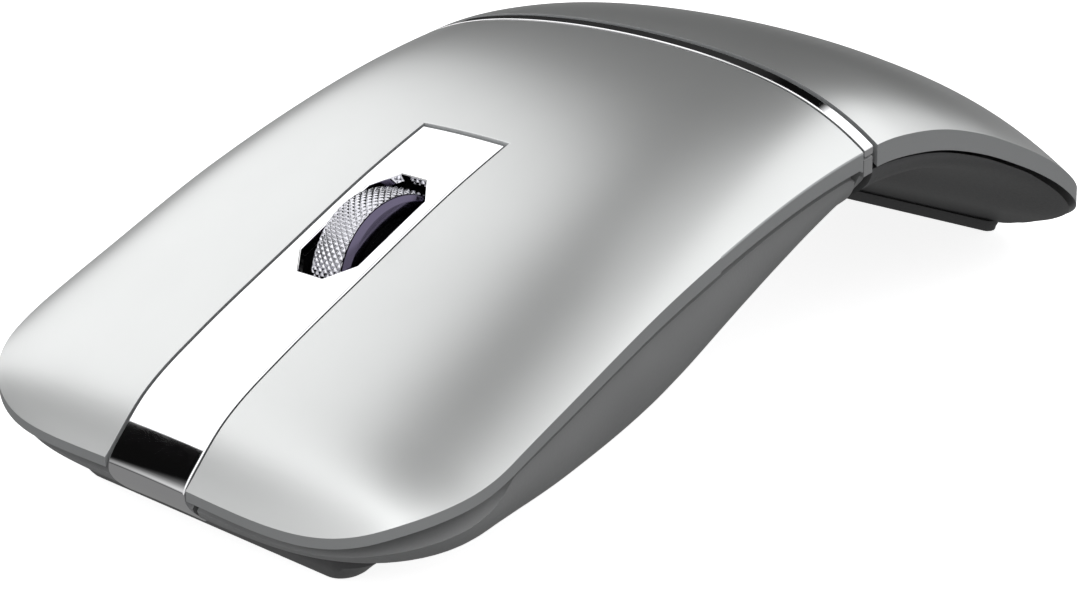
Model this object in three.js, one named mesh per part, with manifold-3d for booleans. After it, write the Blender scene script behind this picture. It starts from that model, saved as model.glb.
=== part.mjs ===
// A wireless computer mouse with an arched body whose tail twists at a seam.
// Millimetres. The shells are laid out in the body frame: +X is the user's left, +Y runs from the nose to
// the tail and is the swivel's direction, +Z is up. The whole body then leans back by LEAN so that it
// stands on its two feet, and the origin ends up under the middle of its bounding box.
import * as THREE from 'three';
import { mergeVertices } from 'three/addons/utils/BufferGeometryUtils.js';
import Module from 'manifold-3d';

const wasm = await Module();
wasm.setup();

// ---------------------------------------------------------------- driving dimensions
const LENGTH = 99.4; // nose to tail end, along the body
const NOSE_HALF_WIDTH = 30.2; // half width of the side lines at the nose
const SEAM_HALF_WIDTH = 29;
const TAIL_HALF_WIDTH = 28.5;
const NOSE_DEPTH = 11.8; // length of the rounded nose in plan
const NOSE_POWER = 4.57; // squareness of the nose corners
const TAIL_DEPTH = 21.4;
const TAIL_POWER = 2.5;
const CENTRE_LINE = [ // crest of the body: distance from the nose, height
  [0, 6.3], [4.2, 10.9], [9.7, 14.5], [18.2, 19.1], [30.3, 25.3], [43.6, 30.7], [54.5, 33.6],
  [60, 33.8], [65.7, 33], [73, 30.7], [81.4, 26.7], [90.4, 19.6], [LENGTH, 10.3],
];
const BELLY_LINE = [ // lowest line of the front body's lower shell
  [0, 2.3], [6, 2.6], [13, 2.9], [22, 3.9], [32, 6.9], [42, 13], [54.5, 21.6],
];
const TAIL_SHELL_DEPTH = [ // depth of the tail's lower shell under its rim
  [54.8, 4.2], [64, 2.9], [69.5, 2.2], [75, 1.5], [81.5, 1.3], [88, 1.9], [95, 1.4], [96.6, 1.7],
  [98, 1.05], [LENGTH, 0.4],
];
const CROWN = { nose: 3.4, seam: 6, tail: 6.6 }; // drop from the crest to the side lines
const CROWN_SHARE = 0.43; // share of the drop that happens close to the side
const CROWN_POWER = { nose: 5.1, tail: 4.1 };
const WALL = { nose: 0.85, seam: 1.55, tail: 1.9, tailEnd: 1.6 }; // visible edge of the covers
const SEAM = 53.1; // rear end of the front covers
const BAND_END = 54.4; // rear face of the collar
const TAIL_START = 54.8;
const KEY_HINGE = 35.5; // the keys flex on this line
const STRIP_HALF = 5.05;
const STRIP_END = 34.9;
const STRIP_THICK = 1;
const GAP = 0.3; // between pieces that touch
const SHELL = 1.4; // thickness of the lower shells
const LEAN = THREE.MathUtils.degToRad(4.75); // swivel axis against the desk
const FOOT_LINE = 4.65; // the front foot's front edge, where the desk meets the body frame's z = 0

const FRONT_FOOT = { y: 2.9, halfLength: 19.4, halfDepth: 2.6, height: 1.9 };
const REAR_FOOT = { y: 92.2, halfLength: 11, halfDepth: 0.9, height: 1.1 };
const WHEEL = { y: 26, z: 17.15, radius: 7.1, halfTread: 1.8, halfWidth: 2.4 };
const OPENING = { front: 17.6, rear: 29.1, half: 3.6, corner: 2 };
const AXLE = { radius: 0.9, left: 4.5, right: -6.2 };
const BOARD = { bottom: 7.6, top: 8.8, front: 5.5, rear: 27.5, half: 20 };
const SWITCH = { x: 14, front: 12, rear: 24.5, half: 3, top: 13.4, plunger: 16 };
const PIVOT = { z: 27.3, shaft: 2.1, bush: 3, bore: 3.3 };

// ---------------------------------------------------------------- colours and finishes
const finish = (color, metalness, roughness) => new THREE.MeshStandardMaterial({ color, metalness, roughness });
const SILVER = finish(0xc4c6c8, 0.85, 0.36);
const MIRROR = finish(0xe9eaec, 1, 0.04);
const GREY = finish(0x6d6f71, 0, 0.55);
const BLACK = finish(0x0c0c0e, 0, 0.25);
const STEEL = finish(0xa8abb0, 1, 0.3);
const BRASS = finish(0xb9975a, 1, 0.35);
const DARK = finish(0x2b2c2e, 0, 0.6);
const GREEN = finish(0x1f5a35, 0, 0.45);
const CLEAR = finish(0xdfe6ea, 0, 0.05);
const CELL = finish(0x3f5f8c, 0.2, 0.4);

// ---------------------------------------------------------------- the body's outer surface
const { lerp, clamp } = THREE.MathUtils;

// Smooth curve through [at, value] points, with the slope at each point taken from its neighbours.
function curveThrough(points) {
  const slope = (i) => {
    const before = points[Math.max(i - 1, 0)];
    const after = points[Math.min(i + 1, points.length - 1)];
    return (after[1] - before[1]) / (after[0] - before[0]);
  };
  return (at) => {
    let i = points.findIndex((point) => point[0] > at) - 1;
    if (i === -2) i = points.length - 2;
    i = Math.max(i, 0);
    const [x0, y0] = points[i];
    const [x1, y1] = points[i + 1];
    const h = x1 - x0;
    const t = clamp((at - x0) / h, 0, 1);
    return y0 * (1 + 2 * t) * (1 - t) ** 2 + slope(i) * h * t * (1 - t) ** 2
      + y1 * t * t * (3 - 2 * t) + slope(i + 1) * h * t * t * (t - 1);
  };
}

const crest = curveThrough(CENTRE_LINE);
const belly = curveThrough(BELLY_LINE);
const tailShellDepth = curveThrough(TAIL_SHELL_DEPTH);
const along = (y, atNose, atSeam, atTail) => (y < SEAM
  ? lerp(atNose, atSeam, y / SEAM)
  : lerp(atSeam, atTail, (y - SEAM) / (LENGTH - SEAM)));
const sideLine = (y) => along(y, NOSE_HALF_WIDTH, SEAM_HALF_WIDTH, TAIL_HALF_WIDTH);

// Height of the outer surface.
function topAt(x, y) {
  const u = Math.abs(x) / sideLine(y);
  const drop = along(y, CROWN.nose, CROWN.seam, CROWN.tail);
  const power = along(y, CROWN_POWER.nose, CROWN_POWER.nose, CROWN_POWER.tail);
  return crest(y) - drop * ((1 - CROWN_SHARE) * u * u + CROWN_SHARE * u ** power);
}

// Thickness of the covers, which shows as their edge.
const wallAt = (y) => (y < SEAM
  ? lerp(WALL.nose, WALL.seam, y / SEAM)
  : lerp(WALL.tail, WALL.tailEnd, (y - SEAM) / (LENGTH - SEAM)));

// Plan outline: where the nose or the tail end lies for a column at the share u of the half width.
const noseAt = (u) => NOSE_DEPTH * (1 - Math.sqrt(1 - Math.min(Math.abs(u), 1) ** NOSE_POWER));
const tailEndAt = (u) => LENGTH - TAIL_DEPTH * (1 - Math.sqrt(1 - Math.min(Math.abs(u), 1) ** TAIL_POWER));
const halfOutline = (y) => {
  const nose = 1 - clamp(1 - y / NOSE_DEPTH, 0, 1) ** 2;
  const tail = 1 - clamp(1 - (LENGTH - y) / TAIL_DEPTH, 0, 1) ** 2;
  return sideLine(y) * nose ** (1 / NOSE_POWER) * tail ** (1 / TAIL_POWER);
};
const coverBottom = (x, y) => topAt(x, y) - wallAt(y);
const coverEdge = (y) => coverBottom(halfOutline(y), y);

// ---------------------------------------------------------------- solids
const range = (count) => Array.from({ length: count }, (_, i) => i / (count - 1));

// Columns from side to side, closer together where the corners of a superellipse turn.
const columns = (power, steps, from = -1) => {
  const angle = (u) => Math.asin(Math.min(1, Math.abs(u) ** (power / 2))) * Math.sign(u);
  return range(steps).map((t) => {
    const a = lerp(angle(from), Math.PI / 2, t);
    return Math.sign(a) * Math.abs(Math.sin(a)) ** (2 / power);
  });
};

// Closed solid between two grids of points that share their rows and columns.
function between(outer, inner) {
  const rows = outer.length;
  const cols = outer[0].length;
  const positions = [...outer.flat(), ...inner.flat()].flat();
  const at = (layer, i, j) => layer * rows * cols + i * cols + j;
  const index = [];
  const quad = (a, b, c, d) => index.push(a, b, c, a, c, d);
  for (let i = 0; i < rows - 1; i++) {
    for (let j = 0; j < cols - 1; j++) {
      quad(at(0, i, j), at(0, i + 1, j), at(0, i + 1, j + 1), at(0, i, j + 1));
      quad(at(1, i, j), at(1, i, j + 1), at(1, i + 1, j + 1), at(1, i + 1, j));
    }
    quad(at(0, i, 0), at(1, i, 0), at(1, i + 1, 0), at(0, i + 1, 0));
    quad(at(0, i, cols - 1), at(0, i + 1, cols - 1), at(1, i + 1, cols - 1), at(1, i, cols - 1));
  }
  for (let j = 0; j < cols - 1; j++) {
    quad(at(0, 0, j), at(0, 0, j + 1), at(1, 0, j + 1), at(1, 0, j));
    quad(at(0, rows - 1, j), at(1, rows - 1, j), at(1, rows - 1, j + 1), at(0, rows - 1, j + 1));
  }
  const geometry = new THREE.BufferGeometry();
  geometry.setAttribute('position', new THREE.Float32BufferAttribute(positions, 3));
  geometry.setIndex(index);
  return volume(geometry) < 0 ? flipped(geometry) : geometry;
}

function volume(geometry) {
  const p = geometry.attributes.position;
  const [a, b, c] = [new THREE.Vector3(), new THREE.Vector3(), new THREE.Vector3()];
  let sum = 0;
  for (let i = 0; i < geometry.index.count; i += 3) {
    a.fromBufferAttribute(p, geometry.index.getX(i));
    b.fromBufferAttribute(p, geometry.index.getX(i + 1));
    c.fromBufferAttribute(p, geometry.index.getX(i + 2));
    sum += a.dot(b.cross(c)) / 6;
  }
  return sum;
}

function flipped(geometry) {
  const index = geometry.index.array;
  for (let i = 0; i < index.length; i += 3) {
    [index[i + 1], index[i + 2]] = [index[i + 2], index[i + 1]];
  }
  return geometry;
}

// Grid of points [x, y, z] for every row and column.
const grid = (rows, cols, point) => rows.map((v) => cols.map((u) => point(u, v)));

function solid(geometry) {
  const bare = geometry.clone();
  bare.deleteAttribute('normal');
  bare.deleteAttribute('uv');
  const merged = mergeVertices(bare, 1e-4);
  return new wasm.Manifold(new wasm.Mesh({
    numProp: 3,
    vertProperties: new Float32Array(merged.attributes.position.array),
    triVerts: new Uint32Array(merged.index.array),
  }));
}

function geometryOf(manifold) {
  const { vertProperties, triVerts, numProp } = manifold.getMesh();
  const positions = [];
  for (let i = 0; i < vertProperties.length; i += numProp) {
    positions.push(vertProperties[i], vertProperties[i + 1], vertProperties[i + 2]);
  }
  const geometry = new THREE.BufferGeometry();
  geometry.setAttribute('position', new THREE.Float32BufferAttribute(positions, 3));
  geometry.setIndex([...triVerts]);
  return geometry;
}

const joined = (first, ...others) => geometryOf(
  others.reduce((all, next) => all.add(solid(next)), solid(first)),
);
const cut = (first, ...others) => geometryOf(
  others.reduce((all, next) => all.subtract(solid(next)), solid(first)),
);

// Box between two corners.
function box([x0, y0, z0], [x1, y1, z1]) {
  const block = new THREE.BoxGeometry(x1 - x0, y1 - y0, z1 - z0);
  return block.translate((x0 + x1) / 2, (y0 + y1) / 2, (z0 + z1) / 2);
}

// Upright cylinder from z0 to z1.
function post(x, y, z0, z1, radius, sides = 20) {
  const cylinder = new THREE.CylinderGeometry(radius, radius, z1 - z0, sides).rotateX(Math.PI / 2);
  return cylinder.translate(x, y, (z0 + z1) / 2);
}

// Side profile in (y, z), drawn out to both sides of the middle.
function acrossX(shape, half) {
  const [x, y, z] = [[1, 0, 0], [0, 1, 0], [0, 0, 1]].map((axis) => new THREE.Vector3(...axis));
  const turn = new THREE.Matrix4().makeBasis(y, z, x).setPosition(-half, 0, 0);
  return new THREE.ExtrudeGeometry(shape, { depth: 2 * half, bevelEnabled: false }).applyMatrix4(turn);
}

// Turned piece on the wheel's axis: profile of [radius, x] points that closes on itself or on the axis.
function turnedOnX(profile, sides) {
  const points = profile.map(([radius, x]) => new THREE.Vector2(radius, x));
  const lathe = new THREE.LatheGeometry(points, sides).rotateZ(-Math.PI / 2);
  const geometry = mergeBare(lathe).translate(0, WHEEL.y, WHEEL.z);
  return volume(geometry) < 0 ? flipped(geometry) : geometry;
}

// Turned piece on the swivel's axis: profile of [radius, y] points.
function turnedOnY(profile, sides) {
  const points = profile.map(([radius, y]) => new THREE.Vector2(radius, y));
  const geometry = mergeBare(new THREE.LatheGeometry(points, sides)).translate(0, 0, PIVOT.z);
  return volume(geometry) < 0 ? flipped(geometry) : geometry;
}

function mergeBare(geometry) {
  geometry.deleteAttribute('normal');
  geometry.deleteAttribute('uv');
  const merged = mergeVertices(geometry, 1e-4);
  const kept = [];
  for (let i = 0; i < merged.index.count; i += 3) {
    const [a, b, c] = [merged.index.getX(i), merged.index.getX(i + 1), merged.index.getX(i + 2)];
    if (a !== b && b !== c && a !== c) kept.push(a, b, c);
  }
  merged.setIndex(kept);
  return merged;
}

const ring = (inner, outer, from, to) => [[inner, from], [outer, from], [outer, to], [inner, to], [inner, from]];

// ---------------------------------------------------------------- covers
const slab = (rows, cols, place, top, bottom) => between(
  grid(rows, cols, (u, v) => { const [x, y] = place(u, v); return [x, y, top(x, y)]; }),
  grid(rows, cols, (u, v) => { const [x, y] = place(u, v); return [x, y, bottom(x, y)]; }),
);

// One key, from the strip's edge to the side, with the stem that reaches down to its switch.
function key(side) {
  const inside = STRIP_HALF + GAP;
  const start = inside / NOSE_HALF_WIDTH;
  const place = (u, v) => {
    const y = lerp(noseAt(u), KEY_HINGE - GAP / 2, v);
    return [side * lerp(inside, sideLine(y), (u - start) / (1 - start)), y];
  };
  const rows = range(10).map((v) => v ** 1.3);
  const panel = slab(rows, columns(NOSE_POWER, 10, start), place, topAt, coverBottom);
  const { x, plunger, top } = SWITCH;
  const stem = box(
    [side * x - 1.5, plunger - 1.5, top + 0.9],
    [side * x + 1.5, plunger + 1.5, coverBottom(x, plunger - 1.5) + 0.3],
  );
  return joined(panel, stem);
}

// Cover behind the keys, with two posts for the case screws.
const REAR_SCREW = { x: 14, y: 38.5 };
function palmCover() {
  const cols = columns(2.6, 17);
  const place = (u, v) => {
    const y = lerp(KEY_HINGE + GAP / 2, SEAM, v);
    return [u * sideLine(y), y];
  };
  const panel = slab(range(6), cols, place, topAt, coverBottom);
  const { x, y } = REAR_SCREW;
  const posts = [x, -x].map((px) => cut(
    post(px, y, 18.5, coverBottom(x, y - 2.6) + 0.3, 2.6),
    post(px, y, 18, 23.2, 1.3),
  ));
  return joined(panel, ...posts);
}

function tailCover() {
  const place = (u, v) => {
    const y = lerp(TAIL_START, tailEndAt(u), v);
    return [u * sideLine(y), y];
  };
  const rows = range(12).map((v) => 1 - (1 - v) ** 1.2);
  return slab(rows, columns(TAIL_POWER, 21), place, topAt, coverBottom);
}

// ---------------------------------------------------------------- lower shells
// Share of the shell's depth reached at the share u of the half width.
const tubShape = (u) => Math.sqrt(1 - Math.min(Math.abs(u), 1) ** 6);

// Tray with a rim: place gives the plan point for (u, v) at an inset, rim and floor give heights at y.
// It has a wall at its closed end (v = 0 or 1) and is open at the other one; lip is how much the rim's inner
// edge stands above its outer edge.
function tray({ rows, cols, place, rim, floor, shareAt, closedEnd, lip }) {
  const outerAt = (x, y) => lerp(rim(y), floor(y), shareAt(x, y));
  return between(
    grid(rows, cols, (u, v) => { const [x, y] = place(u, v, 0); return [x, y, outerAt(x, y)]; }),
    grid(rows, cols, (u, v) => {
      const [x, y] = place(u, v, SHELL);
      const atRim = v === closedEnd || Math.abs(u) > 0.9999;
      return [x, y, atRim ? rim(y) + lip : Math.min(rim(y), outerAt(x, y) + SHELL)];
    }),
  );
}

// The rim stays clear of the keys as they go down.
const BASE_INSET = 1;
const NOSE_RISE = 7; // length over which the lower shell curves up to its rim at the nose
const RIM_DROP = { nose: 1.2, rear: 0.75 }; // shadow gap between the covers and the lower shell
const baseRim = (y) => coverEdge(y) - lerp(RIM_DROP.nose, RIM_DROP.rear, clamp(y / KEY_HINGE, 0, 1));

function baseTray() {
  const shareAt = (x, y) => {
    const half = halfOutline(y) - BASE_INSET;
    const fromNose = clamp((y - noseAt(x / sideLine(y)) - BASE_INSET) / NOSE_RISE, 0, 1);
    return tubShape(x / half) * Math.sqrt(1 - (1 - fromNose) ** 4);
  };
  const place = (u, v, inset) => {
    const y = lerp(noseAt(u) + BASE_INSET + inset, SEAM, v);
    return [u * (sideLine(y) - BASE_INSET - inset), y];
  };
  const rows = range(14).map((v) => v ** 1.8);
  const cols = columns(NOSE_POWER, 21);
  return tray({ rows, cols, place, rim: baseRim, floor: belly, shareAt, closedEnd: 0, lip: 0.9 });
}

const FRONT_SCREW = { x: 0, y: 11 };
const SENSOR = { half: 3.6, front: 16.6, rear: 22.4 };
const SLIDER = { x: 12, front: 9.6, rear: 17.2, half: 1.6, travel: 2.5 };
const SOCKET = { y: 33.4, half: 4.2, halfDepth: 1.6 };

function baseShell() {
  const bosses = [
    post(FRONT_SCREW.x, FRONT_SCREW.y, 3.4, 9.6, 3),
    post(REAR_SCREW.x, REAR_SCREW.y, 12, 18.1, 3),
    post(-REAR_SCREW.x, REAR_SCREW.y, 12, 18.1, 3),
  ];
  const holes = [
    box([-STRIP_HALF - GAP, -1, -1], [STRIP_HALF + GAP, 4, 12]),
    box([-SENSOR.half, SENSOR.front, 0], [SENSOR.half, SENSOR.rear, 8]),
    box([SLIDER.x - SLIDER.half, SLIDER.front, 0], [SLIDER.x + SLIDER.half, SLIDER.rear, 6]),
    box([-SOCKET.half, SOCKET.y - SOCKET.halfDepth, 4], [SOCKET.half, SOCKET.y + SOCKET.halfDepth, 10.5]),
    post(FRONT_SCREW.x, FRONT_SCREW.y, 0, 12, 1.3),
    post(FRONT_SCREW.x, FRONT_SCREW.y, 0, 4.4, 2.3),
    ...[REAR_SCREW.x, -REAR_SCREW.x].flatMap((x) => [
      post(x, REAR_SCREW.y, 5, 20, 1.3),
      post(x, REAR_SCREW.y, 5, 13.6, 2.3),
    ]),
  ];
  return cut(joined(baseTray(), ...bosses), ...holes);
}

const tailRim = (y) => coverEdge(y) - GAP;
const tailFloor = (y) => tailRim(y) - tailShellDepth(y);

function tailShell() {
  const inset = 0.5;
  const shareAt = (x, y) => {
    const half = halfOutline(y) - inset;
    return tubShape(half > 1 ? x / half : 1);
  };
  const place = (u, v, more) => {
    const y = lerp(TAIL_START, tailEndAt(u) - inset - more, v);
    return [u * (sideLine(y) - inset - more), y];
  };
  const rows = range(13).map((v) => 1 - (1 - v) ** 1.3);
  const cols = columns(TAIL_POWER, 21);
  const shell = tray({ rows, cols, place, rim: tailRim, floor: tailFloor, shareAt, closedEnd: 1, lip: 0 });
  return cut(shell, inBodyFrame(foot(REAR_FOOT, GAP)));
}

// ---------------------------------------------------------------- centre strip and its frame
// Plate that follows the crest and may turn down over the nose, from one depth below the surface to another.
function spine(half, from, to, upper, lower, steps) {
  const rows = range(steps).map((v) => lerp(from, to, v ** 1.4));
  return slab(rows, range(5), (u, y) => [lerp(-half, half, u), y],
    (x, y) => topAt(x, y) - upper, (x, y) => topAt(x, y) - lower);
}

// Outline of the wheel's opening with its corners cut off, as a prism.
function wheelOpening() {
  const { front, rear, half, corner } = OPENING;
  const shape = new THREE.Shape([
    [half, front + corner], [half, rear - corner], [half - corner, rear], [corner - half, rear],
    [-half, rear - corner], [-half, front + corner], [corner - half, front], [half - corner, front],
  ].map(([x, y]) => new THREE.Vector2(x, y)));
  return new THREE.ExtrudeGeometry(shape, { depth: 30, bevelEnabled: false });
}

function centreStrip() {
  const plate = spine(STRIP_HALF, 0.6, STRIP_END, 0, STRIP_THICK, 20);
  const nose = [ // section of the turned-down end, from the plate round the nose to the base
    [0.75, crest(0.75)], [0.2, 6.4], [0, 5.4], [0.35, 4.3], [2.2, 2.9], [2.9, 3.5], [1.35, 4.7], [1.05, 5.4],
    [1.3, 6.6],
  ].map(([y, z]) => new THREE.Vector2(y, z));
  const lip = acrossX(new THREE.Shape(nose), STRIP_HALF);
  return cut(joined(plate, lip), wheelOpening());
}

function stripFrame() {
  const upper = STRIP_THICK + GAP;
  const { x, y } = FRONT_SCREW;
  const beam = spine(STRIP_HALF - 0.3, 6.5, STRIP_END, upper, upper + 1.6, 14);
  const leg = post(x, y, 9.9, crest(y - 2.2) - upper - 0.1, 2.2);
  const well = box([-OPENING.half - 0.2, OPENING.front - 0.2, 10], [OPENING.half + 0.2, 32.8, 30]);
  return cut(joined(beam, leg), well, post(x, y, 9, 11.9, 1.3));
}

// ---------------------------------------------------------------- scroll wheel
function wheelTread() {
  const { radius, halfTread } = WHEEL;
  const crowned = radius - 0.2;
  return turnedOnX([[5.9, -halfTread], [crowned, -halfTread], [radius, -0.7], [radius, 0.7],
    [crowned, halfTread], [5.9, halfTread], [5.9, -halfTread]], 40);
}

function wheelRim(side) {
  const { halfTread, halfWidth } = WHEEL;
  const profile = [[5.4, halfTread + 0.05], [6.85, halfTread + 0.05], [6.4, halfWidth], [5.4, halfWidth],
    [5.4, halfTread + 0.05]];
  return turnedOnX(profile.map(([r, x]) => [r, side * x]), 36);
}

function wheelHub() {
  const { halfTread, halfWidth } = WHEEL;
  const bore = AXLE.radius + GAP;
  const face = halfWidth - 0.5;
  const shoulder = halfTread - 0.2;
  return turnedOnX([[bore, -face], [5.1, -face], [5.1, -shoulder], [5.6, -shoulder], [5.6, shoulder],
    [5.1, shoulder], [5.1, face], [bore, face], [bore, -face]], 28);
}

function wheelAxle() {
  return turnedOnX([[0, AXLE.right], [AXLE.radius, AXLE.right], [AXLE.radius, AXLE.left], [0, AXLE.left]], 16);
}

// Round bore along the wheel's axis, centred at x.
function axleBore(radius, x, length) {
  const bore = new THREE.CylinderGeometry(radius, radius, length, 20).rotateZ(Math.PI / 2);
  return bore.translate(x, WHEEL.y, WHEEL.z);
}

// Rocking frame that carries the wheel; its nose tab stands over the middle switch.
const CRADLE = { pivot: 34.2, inside: 3.1, outside: 4.3, front: 16.4, tab: 12.5 };
function wheelCradle() {
  const { inside, outside, front, tab, pivot } = CRADLE;
  const rear = pivot + 0.7;
  const profile = new THREE.Shape([
    [front, 13], [rear, 15.2], [rear, 18.6], [24.2, 18.7], [22, 17.6], [front, 14.6],
  ].map(([y, z]) => new THREE.Vector2(y, z)));
  const frame = cut(acrossX(profile, outside), box([-inside, front + 1.6, 10], [inside, rear - 1.2, 20]));
  const nose = box([-1.6, front, tab], [1.6, front + 1.6, 14]);
  return cut(joined(frame, nose), axleBore(1.2, 0, 12));
}

function scrollEncoder() {
  const body = box([-8.8, 22.6, BOARD.top + GAP], [-4.8, 29.4, 19.6]);
  return cut(body, axleBore(1.4, -5.1, 3.4));
}

// ---------------------------------------------------------------- electronics
const microswitch = (x, front, rear, half, top, plunger) => cut(
  box([x - half, front, BOARD.top + GAP], [x + half, rear, top]),
  post(x, plunger, top - 1.6, top + 1, 1.15),
);
const plungerAt = (x, y, top) => post(x, y, top - 0.9, top + 0.6, 0.8, 16);
const MIDDLE = { front: 14.2, rear: 18.9, half: 3, top: 11.5, plunger: CRADLE.front + 0.8 };

function circuitBoard() {
  const { bottom, top, front, rear, half } = BOARD;
  return cut(
    box([-half, front, bottom], [half, rear, top]),
    post(FRONT_SCREW.x, FRONT_SCREW.y, 5, 12, 3.4),
  );
}

const motionSensor = () => box([-5, 15.6, 6.4], [5, 23.4, BOARD.bottom - GAP]);
const sensorLens = () => box(
  [-SENSOR.half + GAP, SENSOR.front + GAP, 3.9],
  [SENSOR.half - GAP, SENSOR.rear - GAP, 6.1],
);

function powerSlider() {
  const { x, front, rear, half, travel } = SLIDER;
  const plate = box([x - half - 0.9, front - 0.5, 4.8], [x + half + 0.9, rear + 0.5 - travel, 5.7]);
  const knob = box([x - half + GAP, front + GAP, 3.1], [x + half - GAP, rear - GAP - travel, 5]);
  const ridge = (y) => box([x - half, y, 2.5], [x + half, y + 0.8, 3.5]);
  return cut(joined(plate, knob), ridge(front + 1.4), ridge(front + 3.1));
}

const powerSwitch = () => box([SLIDER.x - 2.2, 10, 6], [SLIDER.x + 2.2, 17, BOARD.bottom - GAP]);

// Socket for the charging lead, opening downwards behind the board.
function chargingSocket() {
  const { y, half, halfDepth } = SOCKET;
  return cut(
    box([-half + GAP, y - halfDepth + GAP, 8.2], [half - GAP, y + halfDepth - GAP, 12]),
    box([-half + 0.75, y - halfDepth + 0.75, 7], [half - 0.75, y + halfDepth - 0.75, 11.2]),
  );
}

// Flat cell that lies along the sloping belly.
function batteryPack() {
  return new THREE.BoxGeometry(20, 11, 4.2).rotateX(THREE.MathUtils.degToRad(33)).translate(0, 41.8, 17.9);
}

// ---------------------------------------------------------------- swivel
// Section of the body at the seam as a plate from y0 to y1: its half width, its depth under the outer surface,
// and its height above the lower shell's outside, whose rim and floor are given.
function seamPlate(y0, y1, half, below, above, rim, floor) {
  const top = (x, y) => topAt(x, y) - below;
  const bottom = (x, y) => lerp(rim(y), floor(y), tubShape(x / (sideLine(y) - BASE_INSET))) + above;
  return slab([0, 1], columns(6, 21), (u, v) => [u * half, lerp(y0, y1, v)], top, bottom);
}

const axialHole = (radius, from, to) => turnedOnY([[0, from], [radius, from], [radius, to], [0, to]], 28);

// Bulkhead inside the front body and the flange that shows at the seam.
function seamCollar() {
  const plate = seamPlate(50.6, SEAM + 0.5, 25, WALL.seam + 0.8, SHELL + GAP, baseRim, belly);
  const edge = (y) => coverEdge(y) - 0.35;
  const flange = seamPlate(SEAM + 0.2, BAND_END, SEAM_HALF_WIDTH - 0.2, 1, 0, edge, belly);
  return cut(joined(plate, flange), axialHole(PIVOT.bore, 45, 60));
}

function seamBand() {
  const place = (u, v) => {
    const y = lerp(SEAM + 0.2, BAND_END, v);
    return [u * (sideLine(y) - 0.1), y];
  };
  return slab([0, 1], columns(2.6, 17), place, topAt, (x, y) => topAt(x, y) - 0.7);
}

function tailBulkhead() {
  const plate = seamPlate(TAIL_START, 57, 25, WALL.tail + 0.6, SHELL + GAP, tailRim, tailFloor);
  return cut(plate, axialHole(PIVOT.shaft + GAP, 50, 60));
}

const pivotShaft = () => turnedOnY([[0, 46.4], [1.9, 46.4], [PIVOT.shaft, 46.7], [PIVOT.shaft, 47], [1.5, 47],
  [1.5, 47.9], [PIVOT.shaft, 47.9], [PIVOT.shaft, 57.3], [3.1, 57.3], [3.1, 58.4], [0, 58.4]], 28);
const pivotBush = () => turnedOnY(ring(PIVOT.shaft + GAP, PIVOT.bush, 50.8, 54.2), 28);
const thrustWasher = () => turnedOnY(ring(PIVOT.shaft + GAP, 3, 49.7, 50.3), 24);

// Ring that waves up and down as it goes round.
function waveSpring() {
  const turns = range(37);
  const wave = (t) => 48.75 + 0.2 * Math.sin(6 * Math.PI * t);
  const loop = (radius, y) => [radius * Math.cos(2 * Math.PI * y), radius * Math.sin(2 * Math.PI * y)];
  const corner = (radius, up) => turns.slice(0, -1).map((t) => {
    const [x, z] = loop(radius, t);
    return [x, wave(t) + up, PIVOT.z + z];
  });
  const rings = [corner(2.6, 0), corner(3.1, 0), corner(3.1, 0.3), corner(2.6, 0.3)];
  const count = rings[0].length;
  const index = [];
  rings.forEach((_, r) => {
    const next = (r + 1) % rings.length;
    for (let i = 0; i < count; i++) {
      const j = (i + 1) % count;
      const [a, b, c, d] = [r * count + i, r * count + j, next * count + j, next * count + i];
      index.push(a, b, c, a, c, d);
    }
  });
  const geometry = new THREE.BufferGeometry();
  geometry.setAttribute('position', new THREE.Float32BufferAttribute(rings.flat(2), 3));
  geometry.setIndex(index);
  return volume(geometry) < 0 ? flipped(geometry) : geometry;
}

function retainingClip() {
  const disc = turnedOnY(ring(1.75, 3, 47.15, 47.75), 28);
  return cut(disc, box([-1.2, 46, PIVOT.z - 4], [1.2, 49, PIVOT.z - 1]));
}

// ---------------------------------------------------------------- screws and feet
function screw(x, y, head, tip) {
  const profile = [[0, head], [2, head], [2, head + 1], [1, head + 1.1], [1, tip], [0, tip]];
  const points = profile.map(([radius, z]) => new THREE.Vector2(radius, z));
  const turned = mergeBare(new THREE.LatheGeometry(points, 16).rotateX(Math.PI / 2)).translate(x, y, 0);
  const body = volume(turned) < 0 ? flipped(turned) : turned;
  const slot = (a, b) => box([x - a, y - b, head - 1], [x + a, y + b, head + 0.5]);
  return cut(body, slot(1.4, 0.3), slot(0.3, 1.4));
}

// Bar with rounded ends that stands on the desk, in the standing frame; grow makes the pocket for it.
function foot({ y, halfLength, halfDepth, height }, grow = 0) {
  const radius = halfDepth + grow;
  const shape = new THREE.Shape();
  shape.absarc(halfLength - halfDepth, y, radius, -Math.PI / 2, Math.PI / 2, false);
  shape.absarc(halfDepth - halfLength, y, radius, Math.PI / 2, 1.5 * Math.PI, false);
  const depth = height + 2 * grow;
  const bar = new THREE.ExtrudeGeometry(shape, { depth, bevelEnabled: false, curveSegments: 8 });
  return bar.translate(0, 0, -grow);
}

// The standing frame's geometry as seen from the body frame, which leans back.
function inBodyFrame(geometry) {
  const lean = new THREE.Matrix4().makeRotationX(-LEAN);
  lean.setPosition(0, -FOOT_LINE * Math.cos(LEAN), FOOT_LINE * Math.sin(LEAN));
  return geometry.applyMatrix4(lean.invert());
}

// ---------------------------------------------------------------- assembly
const body = new THREE.Group(); // the body frame
const standing = new THREE.Group(); // the desk's frame, with the front foot's front edge at y = 0
const computer_mouse = new THREE.Group();
body.rotation.x = -LEAN;
body.position.set(0, -FOOT_LINE * Math.cos(LEAN), FOOT_LINE * Math.sin(LEAN));
standing.add(body);
computer_mouse.add(standing);

function add(name, geometry, material, group = body) {
  const mesh = new THREE.Mesh(geometry, material);
  mesh.name = name;
  group.add(mesh);
}

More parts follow.
